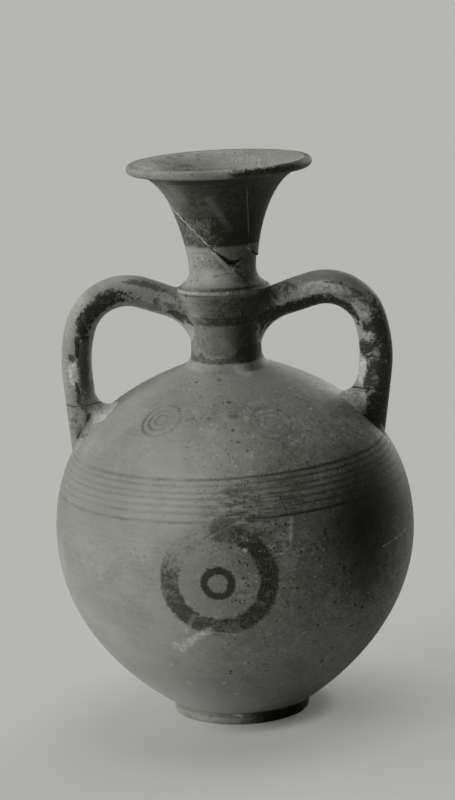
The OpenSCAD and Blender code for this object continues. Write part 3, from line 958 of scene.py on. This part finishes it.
# Pale scratches on neck and mouth: both ends, width, strength
NECK_SCRATCHES = (
    ((-4.8, -23.8, 236.7), (3.6, -17.4, 222.3), 2.2, 0.14),
    ((13, -14.2, 226.2), (10.9, -11.9, 214.6), 0.45, 0.4),
    ((-22.8, -19.4, 242.4), (-16.3, -17.4, 236.2), 4.6, 0.12),
    ((9.1, -12.5, 209.8), (3.9, -14.7, 202.3), 0.55, 0.7),
    ((-18.1, -6, 226.2), (-11.6, -12.4, 220.7), 1.3, 0.25),
    ((14.7, -10.4, 195.9), (12, -12.5, 197.4), 1.4, 0.45),
    ((-11.5, -13, 222.2), (-4.3, -16.1, 218.6), 1.0, 0.3),
    ((-3.4, -15.1, 211.5), (2.8, -15, 204.1), 1.8, 0.55),
    ((11.4, -14.1, 180.8), (15.6, -11.5, 186.5), 0.5, 0.4),
    ((-2.2, -15.8, 171.9), (2.8, -15.6, 166.8), 2.4, 0.14),
    ((11.4, -9.9, 204.2), (11.9, -9.4, 200.9), 0.8, 0.4),
    ((-15, -11, 183), (-9, -15, 180), 1.6, 0.3)
)
# Dark cracks and pits there: both ends, width
NECK_CRACKS = (
    ((-4.2, -14.4, 200.4), (2.6, -15, 201.6), 0.55), ((-5.5, -13.9, 207.6), (-5.3, -14, 207.4), 0.7),
    ((-12.4, -8.2, 204.4), (-11.9, -8.6, 204.3), 0.6), ((-3.4, -16, 173.6), (-2.6, -16, 173.5), 0.7),
    ((0.2, -16.3, 173.7), (0.6, -16.3, 173.5), 0.6), ((-12.5, -10, 173), (-12.5, -10, 168.4), 0.6),
    ((-0.5, -15.4, 209.2), (3.2, -14.8, 204.6), 0.8), ((2.5, -15, 206.5), (7.5, -13.2, 203.5), 1.1),
    ((5.5, -14, 203), (8, -13, 199.5), 0.8)
)


def neck_paint_and_shade(f, x, y, z, radius):
    """The dark bands, from the mouth down: worn paint on the lip; the crease under it, partly paint and
    partly painted shade; worn paint on funnel, band and throat; a dark line in the groove; painted shade
    under the ridge; worn paint on the collar under the ridge with its ring, and a corner beside the right
    handle, partly paint and partly painted shade; and worn paint at the foot of the neck."""
    level = z + 1.0 * (f.noise(5, 4, 0.65, shift=5) - 0.5) + 1.2 * (f.grain - 0.5)
    edge = level + 4.0 * (f.mottle - 0.5) + 2.0 * (f.grain - 0.5) - 1.1 * x.over(7, 14) - 2.0 * x.over(22, 30)
    start = (x + 12.0 * (f.mottle - 0.5) + 6.0 * (f.grain - 0.5)).over(1.6, 6.4)
    lip = radius.over(37.0, 37.8) * start * edge.over(249.0, 248.0) * y.over(20, 4)
    lip = lip * (0.72 + 0.27 * f.worn(0.6)) * (0.88 + 0.12 * level.over(246.5, 247.6))
    lip = lip * (1 - 0.5 * x.over(33, 39))
    # Partly dark paint, partly painted shade: the crease under the lip
    crease = f.band(z, 242.4, 246.6, 1.0) * radius.over(39.4, 38.4) * (0.6 + 0.34 * x.over(-26, -14))
    funnel = level.over(224.4, 226.6) * level.over(246.6, 245.4) * (0.8 + 0.2 * f.worn(0.6))
    funnel = funnel * (0.5 + 0.4 * x.over(-22, -11) + 0.09 * x.over(-6, 6))
    band = f.band(level, 213.6, 227.8, 0.8) * (0.38 + 0.62 * f.worn(0.48 + 0.52 * x.over(-12, 6)))
    throat = f.band(level, 196, 213.6, 1.5) * x.over(8, 13) * (0.2 + 0.55 * f.worn(0.52))
    groove = f.band(z, 194.5, 195.8, 0.4) * (0.36 + 0.34 * x.over(-12, 0))
    # Painted shade: a dark line on the underside of the ridge
    under = f.band(z, 192.0, 192.9, 0.35) * 0.5
    # Partly dark paint, partly painted shade: the corner beside the right handle, under the ridge
    corner = f.band(level, 176, 194.0, 0.6) * x.over(13.5, 16) * 0.8
    collar = (x.over(-17, 0) * (0.26 + 0.6 * f.worn(0.52, 0.09))).most(x.over(4, 12) * 0.78)
    collar = collar * f.band(level, 180.6, 191.8, 0.9)
    ring = f.band(level, 178.0, 182.2, 0.7) * x.over(-16, -9) * (0.5 + 0.46 * f.worn(0.6))
    lower = f.band(level, 166, 179.5, 1.2) * x.over(-3, 9) * (0.4 + 0.5 * f.worn(0.55))
    flecks = f.band(level, 163, 174, 2.5) * f.worn(0.3, 0.06) * 0.6
    full = x.over(0, 6)
    top = 164.0 + 4.4 * full + 1.2 * x.over(-9, -13) + 7.0 * (f.noise(4, 3, shift=29) - 0.5)
    base = level.over(160.8, 161.8) * (top - level).over(-0.7, 0.7)
    base = base * (0.46 + 0.1 * full + 0.34 * f.worn(0.56 + 0.14 * full))
    paint = lip
    for layer in (crease, funnel, band, throat, groove, under, corner, collar, ring, lower, flecks, base):
        paint = paint.most(layer)
    return paint


def neck_finish():
    """Neck and mouth: bare clay with worn dark bands outside, with painted shade in the crease under the lip,
    under the ridge and beside the right handle, a partly painted lip and scratches.
    """
    f = Finish("painted_neck")
    x, y, z, outer = f.upright()
    radius = x.math("SQRT", x * x + y * y)
    aged = (0.5 + 0.4 * x.over(-6, 10)) * (0.35 + 0.65 * z.over(159, 164)) * (0.4 + 0.6 * outer)
    roughness, height = bare_clay(f, aged)
    f.mottle = f.noise(3.0, 5, 0.68, shift=11)
    f.fine = 0.4 * f.mottle + 0.6 * f.grain
    inside = 1 - outer
    front = outer * y.over(0, -6)
    smear = outer * z.over(162.0, 160.2) * f.band(x, 2.5, 9, 2.5) * y.over(-8, -14)
    for zone, strength, shade in (
        (inside * x.over(10, -16), 0.3, CLAY_PALE_AND_PAINTED_LIGHT),
        (inside * f.mottle.over(0.5, 0.58) * x.over(0, -10), 0.5, STAIN),
        (outer * f.band(z, 164, 192, 1.5) * x.over(-18, -4), 0.75, STAIN),
        (smear, 0.4 + 0.6 * f.worn(0.6), PLASTER_AND_PAINTED_LIGHT),
        (outer * radius.over(37, 38.5) * x.over(2, -8), 0.3, STAIN),
        (front * f.band(z, 196.5, 204, 1.5) * f.band(x, -9, 5, 3), 0.4, CLAY_PALE_AND_PAINTED_LIGHT),
        (front * f.band(z, 204, 213.4, 1) * f.band(x, -2, 11, 2), 0.65, STAIN),
        (outer * f.band(z, 193.3, 194.4, 0.3) * x.over(2, -8), 0.3, CLAY_PALE_AND_PAINTED_LIGHT),
    ):
        f.coat(zone * strength, shade)
    paint = neck_paint_and_shade(f, x, y, z, radius) * outer
    # Dark paint, with painted shade in the crease under the lip, under the ridge and in the corner beside the
    # right handle
    f.coat(paint, PAINT_DARK_AND_PAINTED_SHADE)
    scratch = 0.3 + 0.7 * f.worn(0.5)
    for a, b, width, strength in NECK_SCRATCHES:
        f.coat(f.stroke(a, b, width) * scratch * strength, PLASTER_AND_PAINTED_LIGHT)
    for a, b, width in NECK_CRACKS:
        f.coat(f.stroke(a, b, width) * f.grain.over(0.36, 0.54) * 0.85, DIRT_AND_PAINTED_SHADE)
    return f.surface(roughness + 0.06, height + 0.25 * paint, 0.17)


# Dark paint left on the handles: [length along it, cosine of the angle from its outer side], reach, cover
HANDLE_PAINT = {
    "left": (
        ((45, -0.15), (19, 0.5), 0.97), ((63, -0.02), (6, 0.15), 0.95), ((37, 0.25), (5, 0.25), 0.6),
        ((52, 0.2), (5, 0.22), 0.75), ((70, -0.4), (15, 0.36), 0.6), ((85, 0.08), (5, 0.16), 0.85),
        ((21, 0.7), (8, 0.16), 0.6), ((69, 0.3), (2, 0.22), 0.8), ((6, -0.6), (3, 0.22), 0.85),
        ((19, -0.55), (9, 0.3), 0.4), ((4, 0.6), (4, 0.4), 0.4)
    ),
    "right": (
        ((2, 0.35), (5.5, 0.8), 0.75), ((17, -0.55), (17, 0.4), 0.95), ((38, -0.7), (17, 0.27), 0.93),
        ((34, 0.45), (4, 0.12), 0.75), ((42, 0.4), (3.5, 0.14), 0.7), ((35, 0.85), (16, 0.3), 0.28),
        ((67, 0.74), (18, 0.44), 0.88), ((86, 0.72), (15, 0.5), 0.92), ((98, 0.3), (9.5, 0.82), 0.96),
        ((57, -0.1), (4.5, 0.5), 0.92), ((65, -0.2), (3.6, 0.5), 0.9), ((68.5, -0.62), (5.5, 0.38), 0.92),
        ((77.5, -0.35), (3.6, 0.22), 0.88), ((75, 0.15), (12, 0.42), 0.85), ((84, -0.12), (2.2, 0.36), 0.8),
        ((60, 0.28), (8, 0.36), 0.9), ((72, 0.3), (7, 0.26), 0.85), ((84, 0.25), (8, 0.32), 0.88),
        ((95, 0.1), (7, 0.55), 0.95), ((84, -0.45), (5, 0.22), 0.85)
    ),
}
# Places where that paint is scaly and half gone, and where white flakes show
HANDLE_SCALES = {
    "left": (((11, 0.05), (7, 0.75), 0.6), ((89, -0.3), (5, 0.4), 0.5), ((99, 0.3), (6, 0.6), 0.45)),
    "right": (((13, 0.55), (7, 0.4), 0.7), ((45, 0.1), (8, 0.5), 0.6), ((74, 0.0), (12, 0.5), 0.8)),
}
HANDLE_FLAKES = {
    "left": (
        ((75.5, 0.2), (5.5, 0.34), 0.75), ((11, 0.3), (4, 0.3), 0.5), ((93, -0.8), (7, 0.45), 0.6),
        ((97, 0), (5, 0.3), 0.4)
    ),
    "right": (
        ((26, 0.15), (15, 0.4), 0.6), ((50, -0.15), (7, 0.4), 0.6), ((63, -0.3), (3, 0.4), 0.75),
        ((79, -0.78), (7.5, 0.22), 0.7), ((71, -0.02), (3.2, 0.22), 0.6), ((82.5, 0.02), (2.2, 0.22), 0.5),
        ((93, -0.7), (5.5, 0.34), 0.75), ((9, 0.3), (3, 0.5), 0.6)
    ),
}
# How fast the flaking changes along each handle
STREAK_PACE = {"left": 0.5, "right": 0.9}


def handle_finish(side):
    """A handle: pale clay, paler on top near the neck and on its inner side as painted light, with the dark
    paint that is left on it, flaking in streaks across its length.
    """
    f = Finish(f"painted_{side}_handle")
    roughness, height = bare_clay(f, 0.3 + 0 * f.x)
    out, front, run = f.parts(f.skin())
    run = run * SKIN_UNIT
    # Painted light: a painted highlight on top near the neck, and paler on the inner side
    top = out.over(-0.1, 0.5) * run.over(40, 26) * 0.5
    f.coat(top.most(out.over(-0.5, -0.9) * 0.6), CLAY_PALE_AND_PAINTED_LIGHT)
    place = f.node("CombineXYZ", {}, {0: run * STREAK_PACE[side], 1: out * 4, 2: front * 4})
    streak = f.node("TexNoise", {}, {"Vector": place, "Scale": 0.7, "Detail": 5.0, "Roughness": 0.68})
    scale = f.noise(2.2, 4, 0.65, shift=17)
    rag = 5.0 * (streak - 0.5) + 2.0 * (f.grain - 0.5)

    def patches(places):
        total = 0 * f.grain
        for middle, reach, cover in places[side]:
            total = total.most(f.patch(run, out, middle, reach, rag) * cover)
        return total

    flakes = patches(HANDLE_FLAKES)
    f.coat(flakes * (0.35 + 0.65 * scale.over(0.42, 0.56)), WHITE)
    paint = patches(HANDLE_PAINT).most(patches(HANDLE_SCALES) * f.worn(0.5, 0.05, scale))
    paint = paint * (1 - 0.9 * flakes * f.worn(0.55, 0.05, streak))
    if side == "left":
        paint = paint.most(f.stroke((-61.9, -6.2, 139.1), (-67.9, -6.1, 129), 1.1) * 0.85)
    paint = paint * (0.72 + 0.28 * f.worn(0.75, 0.04, f.grain))
    f.coat(paint, PAINT_DARK_AND_PAINTED_SHADE)
    return f.surface(roughness + 0.06, height + 0.5 * paint, 0.18)


def mouth_filler_finish():
    """Mending plaster in the mouth's break: like the clay inside and at the back, pale at the front on the
    left, with painted shade where the break was left open and on the outside right of the crack, under the
    raised right sherd, and dark in the crack at the front and on the bands at the back."""
    f = Finish("mouth_plaster")
    x, y, z, outer = f.upright()
    shade = f.noise(2.5, 3)
    front = outer * y.over(0, -4)
    open_gap = f.band(x, -5.5, 9.4, 1.4)
    slit = f.band(x, 10.6, 12.4, 0.2) * z.over(213, 215)
    f.colour = f.mix(shade.over(0.4, 0.6), CLAY, CLAY_PALE_AND_PAINTED_LIGHT)
    f.coat((1 - front) * 0.45, STAIN)
    # Painted shade: dark on the outside right of the crack, under the raised right sherd
    f.coat(outer * x.over(12.4, 13), DIRT_AND_PAINTED_SHADE)
    # Painted shade where the break was left open at the front
    f.coat(open_gap * front * 0.92, DIRT_AND_PAINTED_SHADE)
    f.coat(slit * front * (1 - 0.5 * f.band(z, 218, 240, 4)), PAINT_DARK_AND_PAINTED_SHADE)
    f.coat(outer * y.over(2, 6) * f.band(z, 213.8, 245.6, 0.8) * 0.95, PAINT_DARK_AND_PAINTED_SHADE)
    return f.surface(0.75, shade, 0.15)


def handle_filler_finish():
    """Old adhesive in a handle's break, dark and dull, but like the clay inside the left handle."""
    f = Finish("handle_adhesive")
    shade = f.noise(2.5, 3)
    f.colour = f.mix(shade.over(0.4, 0.6), STAIN, DIRT_AND_PAINTED_SHADE)
    f.coat(f.band(f.x, -67, -20, 2) * 0.8, CLAY_DULL)
    return f.surface(0.75, shade, 0.15)


def floor_finish():
    """A pale even floor. The camera and reflections see half of its light as its own, with a painted contact
    shadow close to the jar at the right, and half as it is lit, with the jar's shadow; to all other light it
    is darker, so that little returns."""
    f = Finish("pale_floor")
    ray, gloss = (f.node("LightPath", {}, {}, kind) for kind in ("Is Camera Ray", "Is Glossy Ray"))
    dull, pale = (f.node("BsdfDiffuse", {}, {"Color": shade}) for shade in (FLOOR_DULL, FLOOR_PALE))
    # Painted contact shadow: the floor's own glow is darker close to the jar at the right
    open_air = f.node("AmbientOcclusion", {}, {"Distance": 13 * MM}, "AO")
    light = f.mix(open_air.over(0.95, 0.3) * f.x.over(-26, 18), FLOOR_GLOW, FLOOR_PAINTED_SHADOW)
    glow = f.node("Emission", {}, {"Color": light, "Strength": 1.0})
    seen = f.node("MixShader", {}, {0: 0.5, 1: pale, 2: glow})
    shader = f.node("MixShader", {}, {0: (ray + gloss).least(1.0), 1: dull, 2: seen})
    f.node("OutputMaterial", {}, {"Surface": shader})
    return f.material


# The jar

body = body_finish()
neck = neck_finish()
make("body", [body_shell()], body)
make("foot_ring", [foot_shell()], body)
make("foot_luting", [foot_luting_shell()], body)
make("neck", [neck_shell()], neck)
make("neck_luting", [neck_luting_shell()], neck)
half_gap = GAP / 2
left_sherd = mouth_shell(lambda r: -np.pi - crack(-half_gap)(r), crack(-half_gap), 200)
right_sherd = mouth_shell(crack(half_gap), lambda r: np.pi - crack(half_gap)(r), 130, step=SHERD_STEP)
make("mouth_left_sherd", [left_sherd], neck)
make("mouth_right_sherd", [right_sherd], neck)
make("mouth_mend", mend_shells(), mouth_filler_finish())
adhesive = handle_filler_finish()
for side in HANDLES:
    make_handle(side, handle_finish(side), adhesive)


# Floor, light and camera

def lamp(name, azimuth, elevation, strength, spread):
    """A far soft light from an angle round the jar and above the floor, as wide as an angle."""
    data = bpy.data.lights.new(name, "SUN")
    data.energy = strength
    data.angle = np.radians(spread)
    light = bpy.data.objects.new(name, data)
    bpy.context.scene.collection.objects.link(light)
    light.rotation_euler = (np.pi / 2 - np.radians(elevation), 0, np.radians(azimuth))


floor_mesh = bpy.data.meshes.new("floor")
floor_mesh.from_pydata([(-9, -9, 0), (9, -9, 0), (9, 9, 0), (-9, 9, 0)], [], [(0, 1, 2, 3)])
floor_mesh.materials.append(floor_finish())
floor = bpy.data.objects.new("floor", floor_mesh)
bpy.context.scene.collection.objects.link(floor)

lamp("window", -70, 8, 3.3, 48)
lamp("window_back", -120, 30, 0.9, 60)
lamp("back_top", 160, 74, 1.2, 50)
lamp("back_right", 150, 10, 1.5, 34)

world = bpy.data.worlds.new("studio")
bpy.context.scene.world = world
world.use_nodes = True
tree = world.node_tree
seen = tree.nodes["Background"]
seen.inputs["Color"].default_value = BACKDROP
dim = tree.nodes.new("ShaderNodeBackground")
dim.inputs["Color"].default_value = BACKDROP
dim.inputs["Strength"].default_value = 0.02
share = tree.nodes.new("ShaderNodeMixShader")
path = tree.nodes.new("ShaderNodeLightPath")
tree.links.new(path.outputs["Is Camera Ray"], share.inputs[0])
tree.links.new(dim.outputs[0], share.inputs[1])
tree.links.new(seen.outputs[0], share.inputs[2])
tree.links.new(share.outputs[0], tree.nodes["World Output"].inputs["Surface"])

camera_data = bpy.data.cameras.new("camera")
camera = bpy.data.objects.new("camera", camera_data)
bpy.context.scene.collection.objects.link(camera)
camera_data.lens = 174.1
camera_data.sensor_width = 36
camera_data.clip_start = 0.1
camera_data.clip_end = 40
eye = np.array([-0.00058, -1.675, 0.525])
aim = np.array([-0.00058, 0.0, 0.1416])
forward = (aim - eye) / np.linalg.norm(aim - eye)
right = np.array([1.0, 0, 0])
up = np.cross(right, forward)
roll = np.radians(2.65)
axes = np.eye(4)
axes[:3, 0] = np.cos(roll) * right - np.sin(roll) * up
axes[:3, 1] = np.sin(roll) * right + np.cos(roll) * up
axes[:3, 2] = -forward
axes[:3, 3] = eye
camera.matrix_world = axes.T.tolist()
bpy.context.scene.camera = camera
bpy.context.scene.view_settings.view_transform = "Standard"
